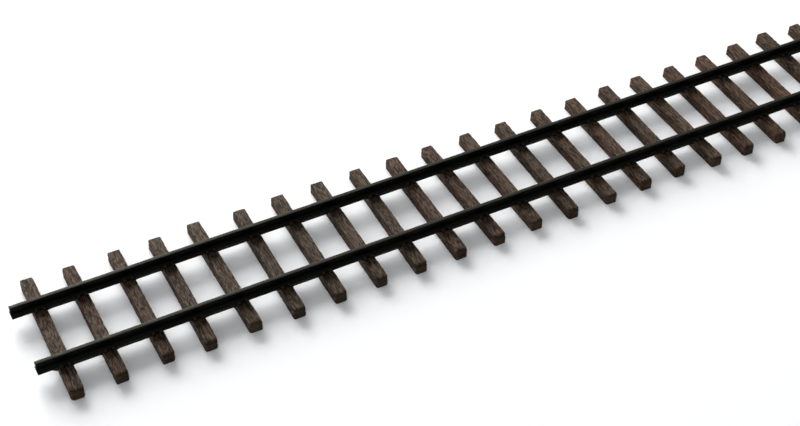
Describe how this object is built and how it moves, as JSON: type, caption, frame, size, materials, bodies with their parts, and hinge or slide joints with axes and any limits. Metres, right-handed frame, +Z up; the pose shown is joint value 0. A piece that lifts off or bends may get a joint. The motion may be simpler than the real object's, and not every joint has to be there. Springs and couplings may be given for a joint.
{
  "type": "narrow gauge model railway track section",
  "caption": "Straight model track section: blackened flat-bottom rails held by moulded spike heads on dark brown wood-grained ties, joined under the rails by thin alternating webs.",
  "frame": {"origin": "under the middle of the section, on the plane that the ties rest on", "axes": "+X along the rails, +Y across the track towards the left rail, +Z up from the ties to the rail heads"},
  "size_m": [0.1702, 0.0232, 0.0033],
  "materials": {
    "tie_plastic": "matte dark brown with a moulded wood grain",
    "web_plastic": "matte dark brown, smooth",
    "rail_metal": "chemically blackened metal, satin, paler on the running surface"
  },
  "bodies": {
    "tie_strip": {"tie_01": "tie_plastic", "tie_02": "tie_plastic", "tie_03": "tie_plastic", "tie_04": "tie_plastic", "tie_05": "tie_plastic", "tie_06": "tie_plastic", "tie_07": "tie_plastic", "tie_08": "tie_plastic", "tie_09": "tie_plastic", "tie_10": "tie_plastic", "tie_11": "tie_plastic", "tie_12": "tie_plastic", "tie_13": "tie_plastic", "tie_14": "tie_plastic", "tie_15": "tie_plastic", "tie_16": "tie_plastic", "tie_17": "tie_plastic", "tie_18": "tie_plastic", "tie_19": "tie_plastic", "tie_20": "tie_plastic", "tie_21": "tie_plastic", "tie_22": "tie_plastic", "tie_23": "tie_plastic", "tie_24": "tie_plastic", "tie_25": "tie_plastic", "tie_26": "tie_plastic", "web_01_left": "web_plastic", "web_01_right": "web_plastic", "web_02_right": "web_plastic", "web_03_left": "web_plastic", "web_04_right": "web_plastic", "web_05_left": "web_plastic", "web_06_right": "web_plastic", "web_07_left": "web_plastic", "web_08_right": "web_plastic", "web_09_left": "web_plastic", "web_10_right": "web_plastic", "web_11_left": "web_plastic", "web_12_right": "web_plastic", "web_13_left": "web_plastic", "web_14_right": "web_plastic", "web_15_left": "web_plastic", "web_16_right": "web_plastic", "web_17_left": "web_plastic", "web_18_right": "web_plastic", "web_19_left": "web_plastic", "web_20_right": "web_plastic", "web_21_left": "web_plastic", "web_22_right": "web_plastic", "web_23_left": "web_plastic", "web_24_right": "web_plastic", "web_25_left": "web_plastic", "web_stub_right": "web_plastic"},
    "left_rail": {"rail_left": "rail_metal"},
    "right_rail": {"rail_right": "rail_metal"}
  },
  "joints": [
    {"name": "left_rail_slide", "type": "slide", "parent": "tie_strip", "child": "left_rail", "axis": [1, 0, 0], "range_m": [-0.0028, 0.0028]},
    {"name": "right_rail_slide", "type": "slide", "parent": "tie_strip", "child": "right_rail", "axis": [1, 0, 0], "range_m": [-0.0028, 0.0028]}
  ]
}
